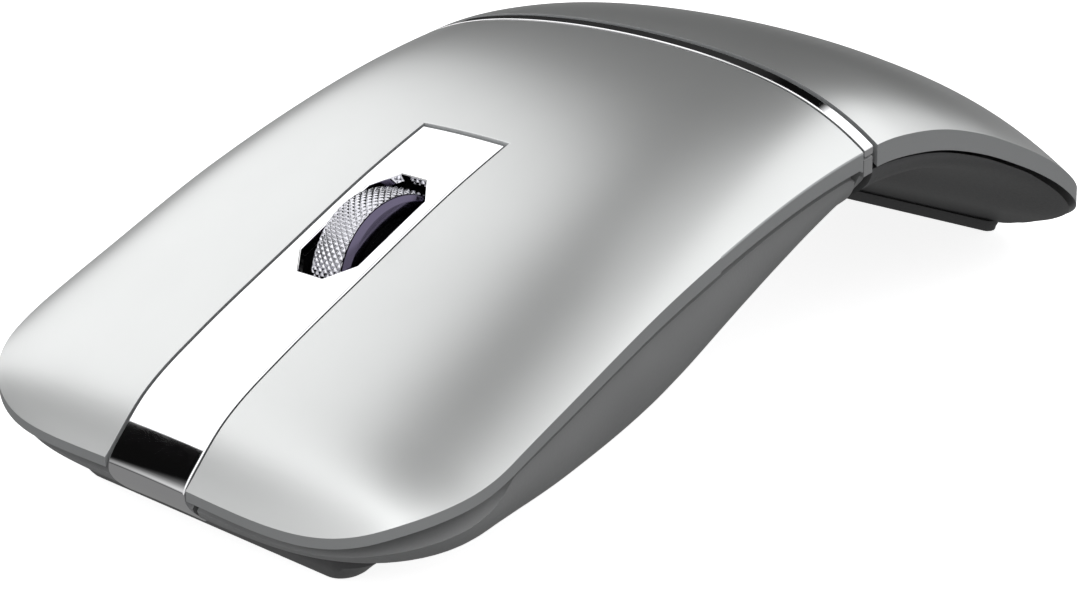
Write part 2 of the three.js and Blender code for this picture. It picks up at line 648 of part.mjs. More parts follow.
add('left_button', key(1), SILVER);
add('right_button', key(-1), SILVER);
add('palm_cover', palmCover(), SILVER);
add('tail_cover', tailCover(), SILVER);
add('centre_strip', centreStrip(), MIRROR);
add('strip_frame', stripFrame(), BLACK);
add('seam_band', seamBand(), MIRROR);
add('base_shell', baseShell(), GREY);
add('tail_shell', tailShell(), GREY);
add('seam_collar', seamCollar(), GREY);

add('wheel_tread', wheelTread(), STEEL);
add('wheel_rim_left', wheelRim(1), MIRROR);
add('wheel_rim_right', wheelRim(-1), MIRROR);
add('wheel_hub', wheelHub(), BLACK);
add('wheel_axle', wheelAxle(), STEEL);
add('wheel_cradle', wheelCradle(), DARK);
add('scroll_encoder', scrollEncoder(), DARK);

const { x: keyX, front, rear, half, top: keyTop, plunger: plungerY } = SWITCH;
add('left_switch', microswitch(keyX, front, rear, half, keyTop, plungerY), DARK);
add('left_plunger', plungerAt(keyX, plungerY, keyTop), CLEAR);
add('right_switch', microswitch(-keyX, front, rear, half, keyTop, plungerY), DARK);
add('right_plunger', plungerAt(-keyX, plungerY, keyTop), CLEAR);
const { front: midFront, rear: midRear, half: midHalf, top: midTop, plunger: midY } = MIDDLE;
add('middle_switch', microswitch(0, midFront, midRear, midHalf, midTop, midY), DARK);
add('middle_plunger', plungerAt(0, midY, midTop), CLEAR);

add('circuit_board', circuitBoard(), GREEN);
add('motion_sensor', motionSensor(), DARK);
add('sensor_lens', sensorLens(), CLEAR);
add('power_slider', powerSlider(), BLACK);
add('power_switch', powerSwitch(), DARK);
add('charging_socket', chargingSocket(), STEEL);
add('battery_pack', batteryPack(), CELL);

add('tail_bulkhead', tailBulkhead(), DARK);
add('pivot_shaft', pivotShaft(), STEEL);
add('pivot_bush', pivotBush(), BRASS);
add('thrust_washer', thrustWasher(), STEEL);
add('wave_spring', waveSpring(), STEEL);
add('retaining_clip', retainingClip(), STEEL);

add('case_screw_front', screw(FRONT_SCREW.x, FRONT_SCREW.y, 3.2, 11.6), STEEL);
add('case_screw_left', screw(REAR_SCREW.x, REAR_SCREW.y, 12.4, 22.9), STEEL);
add('case_screw_right', screw(-REAR_SCREW.x, REAR_SCREW.y, 12.4, 22.9), STEEL);

add('front_foot', foot(FRONT_FOOT), DARK, standing);
add('rear_foot', foot(REAR_FOOT), DARK, standing);

computer_mouse.updateMatrixWorld(true);
const bounds = new THREE.Box3().setFromObject(computer_mouse, true);
standing.position.y = -(bounds.min.y + bounds.max.y) / 2;
computer_mouse.updateMatrixWorld(true);

export default computer_mouse;
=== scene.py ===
"""Looks of an arched wireless mouse whose tail twists at a seam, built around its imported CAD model."""
import math

import bmesh
import bpy
import numpy as np
from mathutils import Matrix, Vector


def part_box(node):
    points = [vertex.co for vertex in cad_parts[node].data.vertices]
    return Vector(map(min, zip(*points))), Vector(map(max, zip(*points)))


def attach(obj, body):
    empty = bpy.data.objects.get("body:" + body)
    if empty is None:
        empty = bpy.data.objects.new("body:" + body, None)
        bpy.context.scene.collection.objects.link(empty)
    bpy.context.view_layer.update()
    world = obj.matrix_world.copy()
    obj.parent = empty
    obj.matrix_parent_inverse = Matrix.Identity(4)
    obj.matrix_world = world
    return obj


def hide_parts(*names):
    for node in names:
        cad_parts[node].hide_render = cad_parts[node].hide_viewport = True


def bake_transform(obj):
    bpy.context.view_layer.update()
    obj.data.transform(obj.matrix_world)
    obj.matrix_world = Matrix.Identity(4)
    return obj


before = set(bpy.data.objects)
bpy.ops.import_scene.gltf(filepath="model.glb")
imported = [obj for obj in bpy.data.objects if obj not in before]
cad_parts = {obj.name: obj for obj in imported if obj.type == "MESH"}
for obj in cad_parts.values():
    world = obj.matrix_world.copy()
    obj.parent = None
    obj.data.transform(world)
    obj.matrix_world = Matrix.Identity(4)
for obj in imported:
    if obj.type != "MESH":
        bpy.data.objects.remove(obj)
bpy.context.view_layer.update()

# ---------------------------------------------------------------- the body frame, in millimetres
# s runs from the nose to the tail along the body, which leans back by LEAN to stand on its feet.
MM = 0.001
LEAN = math.radians(4.75)
FOOT_LINE = 4.65
FOOT_MIDDLE = 2.9
front_low, front_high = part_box("front_foot")
DESK_SHIFT = (front_low.y + front_high.y) / 2 / MM - FOOT_MIDDLE

LENGTH = 99.4
NOSE_HALF_WIDTH = 30.2
SEAM_HALF_WIDTH = 29.0
TAIL_HALF_WIDTH = 28.5
NOSE_DEPTH, NOSE_POWER = 11.8, 4.57
TAIL_DEPTH, TAIL_POWER = 21.4, 2.5
CENTRE_LINE = [
    (0, 6.3), (4.2, 10.9), (9.7, 14.5), (18.2, 19.1), (30.3, 25.3), (43.6, 30.7), (54.5, 33.6),
    (60, 33.8), (65.7, 33), (73, 30.7), (81.4, 26.7), (90.4, 19.6), (LENGTH, 10.3),
]
BELLY_LINE = [(0, 2.3), (6, 2.6), (13, 2.9), (22, 3.9), (32, 6.9), (42, 13), (54.5, 21.6)]
TAIL_SHELL_DEPTH = [
    (54.8, 4.2), (64, 2.9), (69.5, 2.2), (75, 1.5), (81.5, 1.3), (88, 1.9), (95, 1.4), (96.6, 1.7),
    (98, 1.05), (LENGTH, 0.4),
]
SEAM = 53.1
BAND_END = 54.4
TAIL_START = 54.8
STRIP_HALF = 5.05
STRIP_END = 34.9
CROWN_DROP = (3.4, 6.0, 6.6)  # fall of the surface from its crest to its side, at nose, seam and tail
SIDE_POWER = (5.1, 5.1, 4.1)  # how late the side turns down, at nose, seam and tail
ROUND_SHARE, SIDE_SHARE = 0.57, 0.43
NOSE_WALL, NOSE_WALL_GAIN = 0.85, 0.7  # cover thickness at the nose, and what it gains up to the seam
TAIL_WALL, TAIL_WALL_LOSS = 1.9, 0.3  # the same for the tail cover, from the seam back
GROOVE = 0.3
KEY_END = STRIP_END + GROOVE
SHELL = 1.4
BASE_INSET = 1.0
NOSE_RISE = 7.0
TAIL_RISE = 5.0
WHEEL_S, WHEEL_Z = 26.0, 17.15


def smooth_curve(points):
    """The cubic through the points, with each slope taken from the neighbouring points."""
    xs = np.array([p[0] for p in points], float)
    ys = np.array([p[1] for p in points], float)
    last = len(xs) - 1
    before = np.maximum(np.arange(last + 1) - 1, 0)
    after = np.minimum(np.arange(last + 1) + 1, last)
    slopes = (ys[after] - ys[before]) / (xs[after] - xs[before])

    def value(at):
        at = np.clip(at, xs[0], xs[-1])
        i = np.clip(np.searchsorted(xs, at, side="right") - 1, 0, last - 1)
        h = xs[i + 1] - xs[i]
        t = (at - xs[i]) / h
        start = ys[i] * (1 + 2 * t) * (1 - t) ** 2 + slopes[i] * h * t * (1 - t) ** 2
        return start + ys[i + 1] * t * t * (3 - 2 * t) + slopes[i + 1] * h * t * t * (t - 1)

    return value


crest = smooth_curve(CENTRE_LINE)
belly = smooth_curve(BELLY_LINE)
tail_depth = smooth_curve(TAIL_SHELL_DEPTH)


def along(s, nose, seam, tail):
    front = nose + (seam - nose) * s / SEAM
    rear = seam + (tail - seam) * (s - SEAM) / (LENGTH - SEAM)
    return np.where(s < SEAM, front, rear)


def side_line(s):
    return along(s, NOSE_HALF_WIDTH, SEAM_HALF_WIDTH, TAIL_HALF_WIDTH)


def top(x, s):
    """Height of the outer surface."""
    u = np.abs(x) / side_line(s)
    power = along(s, *SIDE_POWER)
    return crest(s) - along(s, *CROWN_DROP) * (ROUND_SHARE * u * u + SIDE_SHARE * u ** power)


def wall(s):
    """Thickness of the covers."""
    front = NOSE_WALL + NOSE_WALL_GAIN * s / SEAM
    rear = TAIL_WALL - TAIL_WALL_LOSS * (s - SEAM) / (LENGTH - SEAM)
    return np.where(s < SEAM, front, rear)


def nose_at(u):
    """Where the nose's outline lies in s at the share u of the half width."""
    return NOSE_DEPTH * (1 - np.sqrt(1 - np.minimum(np.abs(u), 1) ** NOSE_POWER))


def tail_end_at(u):
    """Where the tail's outline lies in s at the share u of the half width."""
    return LENGTH - TAIL_DEPTH * (1 - np.sqrt(1 - np.minimum(np.abs(u), 1) ** TAIL_POWER))


def half_outline(s):
    nose = 1 - np.clip(1 - s / NOSE_DEPTH, 0, 1) ** 2
    tail = 1 - np.clip(1 - (LENGTH - s) / TAIL_DEPTH, 0, 1) ** 2
    return side_line(s) * nose ** (1 / NOSE_POWER) * tail ** (1 / TAIL_POWER)


def cover_edge(s):
    """Height of the covers' lower edge."""
    return top(half_outline(s), s) - wall(s)


def on_desk(points):
    """Points of the body frame, turned onto the desk and given in metres."""
    p = np.asarray(points, float)
    x, s, z = p[..., 0], p[..., 1] - FOOT_LINE, p[..., 2]
    y = s * math.cos(LEAN) + z * math.sin(LEAN) + DESK_SHIFT
    up = z * math.cos(LEAN) - s * math.sin(LEAN)
    return np.stack([x, y, up], axis=-1) * MM


def direction_on_desk(vector):
    x, s, z = vector
    return Vector((x, s * math.cos(LEAN) + z * math.sin(LEAN), z * math.cos(LEAN) - s * math.sin(LEAN)))


# ---------------------------------------------------------------- meshes
def even_shares(outline_at, half, first, count):
    """Shares of the half width that lie evenly spaced along a rounded end's outline."""
    u = first + (1 - first) * (1 - (1 - np.linspace(0, 1, 4000)) ** 3)
    x, s = u * half, outline_at(u)
    run = np.concatenate([[0], np.cumsum(np.hypot(np.diff(x), np.diff(s)))])
    return np.interp(np.linspace(0, run[-1], count), run, u)


def closer_at_ends(low, high, count):
    """Evenly counted shares from low to high that crowd together towards 1 and -1."""
    even = np.linspace(low, high, count)
    return 1.25 * even - 0.25 * even ** 3


def eased(share):
    """0 to 1 with a level start and end."""
    share = np.clip(share, 0, 1)
    return share ** 2 * (3 - 2 * share)


def both_sides(shares):
    return np.concatenate([-shares[:0:-1], shares])


def add_object(name, points, faces, slots=None):
    mesh = bpy.data.meshes.new(name)
    mesh.from_pydata([tuple(p) for p in points], [], [tuple(f) for f in faces])
    if slots and any(slots):
        mesh.polygons.foreach_set("material_index", slots)
    bm = bmesh.new()
    bm.from_mesh(mesh)
    bmesh.ops.remove_doubles(bm, verts=bm.verts, dist=1e-7)
    bmesh.ops.recalc_face_normals(bm, faces=bm.faces)
    bm.to_mesh(mesh)
    bm.free()
    mesh.shade_smooth()
    obj = bpy.data.objects.new(name, mesh)
    bpy.context.scene.collection.objects.link(obj)
    return obj


def shell(name, upper, lower, walls=lambda side, i: True, edge_slot=0):
    """Solid between two grids of body-frame points. walls says which edge faces to make, by side (first and
    last row, left and right column) and face. The walls and the underside use material edge_slot."""
    rows, cols = upper.shape[:2]
    count = rows * cols
    index = np.arange(count).reshape(rows, cols)
    faces = []
    for i in range(rows - 1):
        for j in range(cols - 1):
            a, b, c, d = index[i, j], index[i + 1, j], index[i + 1, j + 1], index[i, j + 1]
            faces.append((a, b, c, d))
            faces.append((d + count, c + count, b + count, a + count))
    for side, line in (("first", index[0]), ("last", index[-1])):
        for j in range(cols - 1):
            if walls(side, j):
                faces.append((line[j], line[j + 1], line[j + 1] + count, line[j] + count))
    for side, line in (("left", index[:, 0]), ("right", index[:, -1])):
        for i in range(rows - 1):
            if walls(side, i):
                faces.append((line[i], line[i + 1], line[i + 1] + count, line[i] + count))
    points = np.concatenate([upper.reshape(-1, 3), lower.reshape(-1, 3)])
    # On the covers edge_slot holds a darker copy of their silver, painted shade on the walls and underside.
    slots = [0 if max(face) < count else edge_slot for face in faces]
    return add_object(name, on_desk(points), faces, slots)


def grid(x, s, height):
    return np.stack([x, s, height], axis=-1)


def turned(name, profile, sides):
    """Ring or disc turned about the wheel's axis, from a closed profile of (radius, place on the axis)."""
    angles = np.linspace(0, 2 * math.pi, sides, endpoint=False)
    points = []
    for radius, place in profile:
        for a in angles:
            points.append((place, WHEEL_S + radius * math.cos(a), WHEEL_Z + radius * math.sin(a)))
    faces = []
    total = len(profile)
    for r in range(total):
        after = (r + 1) % total
        for i in range(sides):
            j = (i + 1) % sides
            faces.append((r * sides + i, r * sides + j, after * sides + j, after * sides + i))
    return add_object(name, on_desk(points), faces)


def soften(obj, width, segments=3, angle=35):
    """Rounds the piece's edges by a radius in millimetres."""
    bevel = obj.modifiers.new("rounded edges", "BEVEL")
    bevel.width = width * MM
    bevel.segments = segments
    bevel.limit_method = "ANGLE"
    bevel.angle_limit = math.radians(angle)
    bevel.harden_normals = True
    bevel.use_clamp_overlap = True
    return obj


def finish_piece(obj, body, materials, slot, *replaced):
    for material in materials if isinstance(materials, tuple) else (materials,):
        obj.data.materials.append(material)
    if body:
        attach(obj, body)
    if replaced:
        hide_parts(*replaced)
    return obj


def carve(obj, cutters):
    """Cuts the cutters out of a closed piece and removes them."""
    for cutter in cutters:
        cut = obj.modifiers.new("cut", "BOOLEAN")
        cut.operation = "DIFFERENCE"
        cut.solver = "EXACT"
        cut.object = cutter
    bpy.context.view_layer.update()
    depsgraph = bpy.context.evaluated_depsgraph_get()
    carved = bpy.data.meshes.new_from_object(obj.evaluated_get(depsgraph))
    obj.modifiers.clear()
    obj.data = carved
    for cutter in cutters:
        bpy.data.objects.remove(cutter)
    return obj


def block(low, high):
    """Cutter between two corners in the body frame."""
    corners = [(x, s, z) for x in (low[0], high[0]) for s in (low[1], high[1]) for z in (low[2], high[2])]
    faces = [(0, 1, 3, 2), (4, 6, 7, 5), (0, 4, 5, 1), (2, 3, 7, 6), (0, 2, 6, 4), (1, 5, 7, 3)]
    return add_object("cutter", on_desk(corners), faces)


def drill(x, s, low, high, radius, sides=40):
    """Upright round cutter in the body frame."""
    angles = np.linspace(0, 2 * math.pi, sides, endpoint=False)
    ring = [(x + radius * math.cos(a), s + radius * math.sin(a)) for a in angles]
    points = [(*p, low) for p in ring] + [(*p, high) for p in ring]
    faces = [tuple(range(sides))[::-1], tuple(range(sides, 2 * sides))]
    faces += [(i, (i + 1) % sides, sides + (i + 1) % sides, sides + i) for i in range(sides)]
    return add_object("cutter", on_desk(points), faces)


# ---------------------------------------------------------------- materials
def new_material(name):
    material = bpy.data.materials.new(name)
    material.use_nodes = True
    return material, material.node_tree.nodes, material.node_tree.links


def noise(nodes, links, grain_mm, detail=3.0, stretch=None):
    """Noise whose features are about grain_mm across, in the piece's own coordinates."""
    place = nodes.new("ShaderNodeTexCoord")
    texture = nodes.new("ShaderNodeTexNoise")
    texture.inputs["Scale"].default_value = 1 / (grain_mm * MM)
    texture.inputs["Detail"].default_value = detail
    source = place.outputs["Object"]
    if stretch:
        mapping = nodes.new("ShaderNodeMapping")
        mapping.inputs["Scale"].default_value = stretch
        links.new(source, mapping.inputs["Vector"])
        source = mapping.outputs["Vector"]
    links.new(source, texture.inputs["Vector"])
    return texture.outputs["Fac"]


def spread(nodes, links, source, low, high):
    """Maps the middle of a noise to low..high."""
    ramp = nodes.new("ShaderNodeMapRange")
    ramp.inputs["From Min"].default_value = 0.3
    ramp.inputs["From Max"].default_value = 0.7
    ramp.inputs["To Min"].default_value = low
    ramp.inputs["To Max"].default_value = high
    links.new(source, ramp.inputs["Value"])
    return ramp.outputs["Result"]


def surface(name, color, roughness, metallic=0.0, grain_mm=0.3, bump_mm=0.01, mottle=0.06,
            rough_spread=0.04, blotch_mm=9.0, stretch=None, coat=0.0, ior=1.5, transmission=0.0, glow=0.0):
    """Metal or plastic: fine grain in the bump, and slow changes of shade and roughness."""
    material, nodes, links = new_material(name)
    shader = nodes["Principled BSDF"]
    shader.inputs["Metallic"].default_value = metallic
    shader.inputs["IOR"].default_value = ior
    shader.inputs["Coat Weight"].default_value = coat
    shader.inputs["Coat Roughness"].default_value = 0.05
    shader.inputs["Transmission Weight"].default_value = transmission
    shader.inputs["Emission Color"].default_value = (1, 1, 1, 1)
    shader.inputs["Emission Strength"].default_value = glow
    slow = noise(nodes, links, blotch_mm)
    mix = nodes.new("ShaderNodeMix")
    mix.data_type = "RGBA"
    mix.inputs["A"].default_value = (*[c * (1 - mottle) for c in color], 1)
    mix.inputs["B"].default_value = (*[min(1, c * (1 + mottle)) for c in color], 1)
    links.new(spread(nodes, links, slow, 0, 1), mix.inputs["Factor"])
    links.new(mix.outputs["Result"], shader.inputs["Base Color"])
    fine = noise(nodes, links, grain_mm, 2.0, stretch)
    low, high = max(0.0, roughness - rough_spread), roughness + rough_spread
    links.new(spread(nodes, links, fine, low, high), shader.inputs["Roughness"])
    bump = nodes.new("ShaderNodeBump")
    bump.inputs["Strength"].default_value = 1.0
    bump.inputs["Distance"].default_value = bump_mm * MM
    links.new(fine, bump.inputs["Height"])
    links.new(bump.outputs["Normal"], shader.inputs["Normal"])
    return material


SATIN = surface("satin silver", (0.65, 0.66, 0.657), 0.3, 0.82, grain_mm=0.12, bump_mm=0.0007, mottle=0.012,
                rough_spread=0.02)
# Darker, duller copy of the satin silver for the covers' side walls and undersides: painted shade where the
# sides turn from the light.
SATIN_PAINTED_SHADE = surface("satin silver with painted shade", (0.42, 0.43, 0.435), 0.4, 0.6, grain_mm=0.12, bump_mm=0.0012, mottle=0.02)
MIRROR = surface("mirror chrome", (0.93, 0.93, 0.94), 0.035, 1.0, grain_mm=6, bump_mm=0.0004, mottle=0.01,
                 rough_spread=0.012, blotch_mm=14)
RIM = surface("polished rim", (0.1, 0.088, 0.135), 0.2, 1.0, grain_mm=4, bump_mm=0.0003, rough_spread=0.015)
KNURL = surface("knurled chrome", (0.6, 0.6, 0.64), 0.13, 1.0, grain_mm=0.1, bump_mm=0.002, mottle=0.03)
GREY = surface("grey moulding", (0.27, 0.273, 0.276), 0.46, 0.0, grain_mm=0.28, bump_mm=0.012, mottle=0.05)
# The same grey plastic as the front shell, made darker for the tail's lower shell: painted shade under the
# arch.
GREY_PAINTED_SHADE = surface("grey moulding with painted shade", (0.095, 0.096, 0.098), 0.5, 0.0, grain_mm=0.28, bump_mm=0.012,
                mottle=0.05)
DARK = surface("dark moulding", (0.025, 0.025, 0.027), 0.48, 0.0, grain_mm=0.3, bump_mm=0.01)
FOOT = surface("slippery foot", (0.08, 0.08, 0.082), 0.34, 0.0, grain_mm=0.5, bump_mm=0.004)
GLOSS = surface("black gloss", (0.008, 0.008, 0.009), 0.1, 0.0, grain_mm=3, bump_mm=0.001, coat=0.4)
STEEL = surface("turned steel", (0.55, 0.56, 0.58), 0.27, 1.0, grain_mm=0.15, bump_mm=0.002)
BRONZE = surface("sintered bronze", (0.55, 0.37, 0.18), 0.4, 1.0, grain_mm=0.2, bump_mm=0.006, mottle=0.15)
BOARD = surface("lacquered board", (0.015, 0.09, 0.04), 0.25, 0.0, grain_mm=0.8, bump_mm=0.01, mottle=0.2,
                coat=0.5)
WHITE = surface("white acetal", (0.75, 0.75, 0.72), 0.4, 0.0, grain_mm=0.3, bump_mm=0.003)
LENS = surface("clear lens", (0.9, 0.93, 0.95), 0.06, 0.0, grain_mm=2, bump_mm=0.001, transmission=0.9)
FOIL = surface("battery wrap", (0.06, 0.1, 0.2), 0.3, 0.2, grain_mm=2.5, bump_mm=0.02, mottle=0.1)


# ---------------------------------------------------------------- covers
# Behind a rounded end the columns of the mesh fan out to an even spacing over this length.
KEY_FAN = 14
TAIL_FAN = 24


def key_cover(side, name, node):
    """One key as part of the unbroken cover, up to the line where the palm cover begins."""
    inner = STRIP_HALF + GROOVE
    shares = even_shares(nose_at, NOSE_HALF_WIDTH, inner / NOSE_HALF_WIDTH, 56)
    v = np.linspace(0, 1, 56)[:, None]
    s = nose_at(shares)[None, :] * (1 - v) + KEY_END * v
    fraction = (shares - shares[0]) / (1 - shares[0])
    even = closer_at_ends(0, 1, len(shares))
    toward = eased((s - nose_at(shares)[None, :]) / KEY_FAN)
    fraction = fraction[None, :] * (1 - toward) + even[None, :] * toward
    fraction[:, -1] = 1
    x = inner + (side_line(s) - inner) * fraction
    height = top(x, s)
    upper, lower = grid(side * x, s, height), grid(side * x, s, height - wall(s))
    obj = shell(name, upper, lower, walls=lambda edge, i: edge != "last", edge_slot=1)
    soften(obj, 0.22)
    finish_piece(obj, None, (SATIN, SATIN_PAINTED_SHADE), "satin_silver", node)
    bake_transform(obj)
    return obj


def palm_cover():
    """Cover between the keys and the seam, open at the front where the keys join it."""
    inner = STRIP_HALF + GROOVE
    outer_cols = closer_at_ends(0, 1, 50)
    middle_faces = 12
    middle = np.linspace(-inner, inner, middle_faces + 1)
    v = np.linspace(0, 1, 34)
    s = KEY_END + (SEAM - KEY_END) * v[:, None]
    right = inner + (side_line(s) - inner) * outer_cols[None, :]
    between = np.repeat(middle[None, 1:-1], len(v), 0)
    x = np.concatenate([-right[:, ::-1], between, right], axis=1)
    s = np.repeat(s, x.shape[1], 1)
    height = top(x, s)
    first = len(outer_cols) - 1

    def walls(edge, i):
        return edge != "first" or first <= i < first + middle_faces

    obj = shell("palm_skin", grid(x, s, height), grid(x, s, height - wall(s)), walls, 1)
    soften(obj, 0.18)
    return finish_piece(obj, "base", (SATIN, SATIN_PAINTED_SHADE), "satin_silver", "palm_cover")


def tail_cover():
    """Cover behind the seam, round at its end."""
    shares = both_sides(even_shares(tail_end_at, TAIL_HALF_WIDTH, 0, 52))
    v = np.linspace(0, 1, 64)[:, None]
    s = TAIL_START * (1 - v) + tail_end_at(shares)[None, :] * v
    even = closer_at_ends(-1, 1, len(shares))
    toward = eased((tail_end_at(shares)[None, :] - s) / TAIL_FAN)
    fraction = shares[None, :] * (1 - toward) + even[None, :] * toward
    fraction[:, 0], fraction[:, -1] = -1, 1
    x = side_line(s) * fraction
    height = top(x, s)
    obj = shell("tail_skin", grid(x, s, height), grid(x, s, height - wall(s)), edge_slot=1)
    soften(obj, 0.25)
    return finish_piece(obj, "tail", (SATIN, SATIN_PAINTED_SHADE), "satin_silver", "tail_cover")


# ---------------------------------------------------------------- strip and band
OPENING = {"front": 17.6, "rear": 29.1, "half": 3.6, "corner": 2.0}
STRIP_THICKNESS = 0.95


def opening_half(s):
    """Half width of the wheel's opening, an oblong with its corners cut off."""
    o = OPENING
    from_ends = np.minimum(s - o["front"], o["rear"] - s)
    return np.minimum(o["half"], o["half"] - o["corner"] + np.maximum(from_ends, 0))


def nose_path():
    """The strip's outer line in (s, z) from the top surface over the nose and in to the lip's end."""
    marks = np.array([
        (1.6, crest(1.6)), (0.9, crest(0.9)), (0.32, 6.52), (0.06, 6.0), (0.0, 5.45),
        (0.12, 4.95), (0.55, 4.3), (1.3, 3.6), (2.1, 3.0), (2.5, 2.75),
    ])
    steps = 3
    points = []
    for i in range(1, len(marks) - 2):
        p0, p1, p2, p3 = marks[i - 1:i + 3]
        for t in np.linspace(0, 1, steps, endpoint=False):
            points.append(0.5 * (2 * p1 + (p2 - p0) * t + (2 * p0 - 5 * p1 + 4 * p2 - p3) * t ** 2
                                 + (3 * p1 - p0 - 3 * p2 + p3) * t ** 3))
    points.append(marks[-2])
    return np.array(points)


def centre_strip():
    """Mirror strip from its lip at the nose to behind the wheel, with the wheel's opening in it."""
    o = OPENING
    narrow = o["half"] - o["corner"]
    lip = nose_path()[::-1]
    front = np.linspace(lip[-1][0], o["front"], 40)[1:]
    corners = [o["front"] + o["corner"], o["rear"] - o["corner"]]
    hole = np.unique(np.concatenate([np.linspace(o["front"], o["rear"], 24), corners]))
    rear = np.linspace(o["rear"], STRIP_END, 12)
    edge_cols = np.linspace(0, 1, 5)
    left = -(narrow + (STRIP_HALF - narrow) * edge_cols[::-1])
    right = narrow + (STRIP_HALF - narrow) * edge_cols
    across = np.concatenate([left, np.linspace(-narrow, narrow, 7)[1:-1], right])
    points, faces = [], []

    def add_rows(lines):
        """lines: a list of rows, each a list of points; quads are made between neighbours."""
        start = len(points)
        width = len(lines[0])
        for line in lines:
            points.extend(line)
        for i in range(len(lines) - 1):
            for j in range(width - 1):
                a = start + i * width + j
                faces.append((a, a + 1, a + width + 1, a + width))

    add_rows([[(x, s, z - float(crest(s) - top(x, s))) for x in across] for s, z in lip]
             + [[(x, s, float(top(x, s))) for x in across] for s in front])
    for side in (-1, 1):
        lines = []
        for s in hole:
            half = float(opening_half(s))
            xs = half + (STRIP_HALF - half) * edge_cols
            lines.append([(side * x, s, float(top(x, s))) for x in xs])
        add_rows(lines)
    add_rows([[(x, s, float(top(x, s))) for x in across] for s in rear])
    obj = add_object("strip_skin", on_desk(points), faces)
    face_up(obj)
    thick = obj.modifiers.new("thickness", "SOLIDIFY")
    thick.thickness = STRIP_THICKNESS * MM
    thick.offset = -1
    soften(obj, 0.16, 3, 40)
    return finish_piece(obj, "base", MIRROR, "mirror_chrome", "centre_strip")


def face_up(obj):
    """Turns an open sheet so that its top faces up."""
    total = sum((p.normal * p.area for p in obj.data.polygons), Vector())
    if total.z < 0:
        obj.data.flip_normals()


def seam_band():
    """Mirror band that covers the seam."""
    cols = closer_at_ends(-1, 1, 91)
    start, sunk, thickness = SEAM + 0.2, 0.1, 0.7
    s = np.repeat(np.linspace(start, BAND_END, 4)[:, None], len(cols), 1)
    x = (side_line(s) - sunk) * cols[None, :]
    height = top(x, s)
    obj = shell("band_skin", grid(x, s, height), grid(x, s, height - thickness))
    soften(obj, 0.12)
    return finish_piece(obj, "base", MIRROR, "mirror_chrome", "seam_band")


# ---------------------------------------------------------------- lower shells
RIM_DROP, RIM_DROP_LOSS = 1.2, 0.4  # gap under the cover at the keys, and what it loses up to the seam
RIM_LIP = 0.9  # how far the inner side of the rim stands up behind that gap
HEAD_RADIUS = 2.3  # of the sunk holes for the screws' heads
REAR_SCREW_X, REAR_SCREW_S = 14, 38.5


def tub(u):
    """Depth of a shell across its width, as a share: flat below, with upright sides."""
    return np.sqrt(1 - np.minimum(np.abs(u), 1) ** 6)


def base_rim(s):
    behind_keys = np.clip((s - KEY_END) / (SEAM - KEY_END), 0, 1)
    return cover_edge(s) - (RIM_DROP - RIM_DROP_LOSS * behind_keys)


def base_outside(x, s):
    """Height of the lower shell's outer surface, which rises to the rim at the sides and the nose."""
    half = np.maximum(half_outline(s) - BASE_INSET, 0.1)
    from_nose = np.clip((s - nose_at(x / side_line(s)) - BASE_INSET) / NOSE_RISE, 0, 1)
    share = tub(x / half) * np.sqrt(1 - (1 - from_nose) ** 4)
    return base_rim(s) + (belly(s) - base_rim(s)) * share


def base_shell():
    """Lower shell of the front body, with its openings."""
    shares = both_sides(even_shares(nose_at, NOSE_HALF_WIDTH, 0, 48))
    v = (np.linspace(0, 1, 72) ** 1.25)[:, None]
    s = (nose_at(shares)[None, :] + BASE_INSET) * (1 - v) + SEAM * v
    x = shares[None, :] * (side_line(s) - BASE_INSET)
    outer = grid(x, s, base_outside(x, s))
    s_in = (nose_at(shares)[None, :] + BASE_INSET + SHELL) * (1 - v) + SEAM * v
    x_in = shares[None, :] * (side_line(s_in) - BASE_INSET - SHELL)
    height = np.minimum(base_rim(s_in), base_outside(x_in, s_in) + SHELL)
    rim = base_rim(s_in) + RIM_LIP
    height[0] = rim[0]
    height[:, 0], height[:, -1] = rim[:, 0], rim[:, -1]
    obj = shell("hull_skin", grid(x_in, s_in, height), outer)
    notch_for_lip = block((-STRIP_HALF - GROOVE, -1, -1), (STRIP_HALF + GROOVE, 4, 12))
    sensor_window = block((-3.6, 16.6, 0), (3.6, 22.4, 8))
    slider_slot = block((10.4, 9.6, 0), (13.6, 17.2, 6))
    socket_hole = block((-4.2, 31.8, 4), (4.2, 35, 12.5))
    front_screw = drill(0, 11, 0, 6, HEAD_RADIUS)
    rear_screws = [drill(side * REAR_SCREW_X, REAR_SCREW_S, 5, 14.2, HEAD_RADIUS) for side in (1, -1)]
    carve(obj, [notch_for_lip, sensor_window, slider_slot, socket_hole, front_screw, *rear_screws])
    obj.data.shade_smooth()
    obj.data.set_sharp_from_angle(angle=math.radians(38))
    return finish_piece(obj, "base", GREY, "grey_plastic", "base_shell")


def tail_rim(s):
    return cover_edge(s) - GROOVE


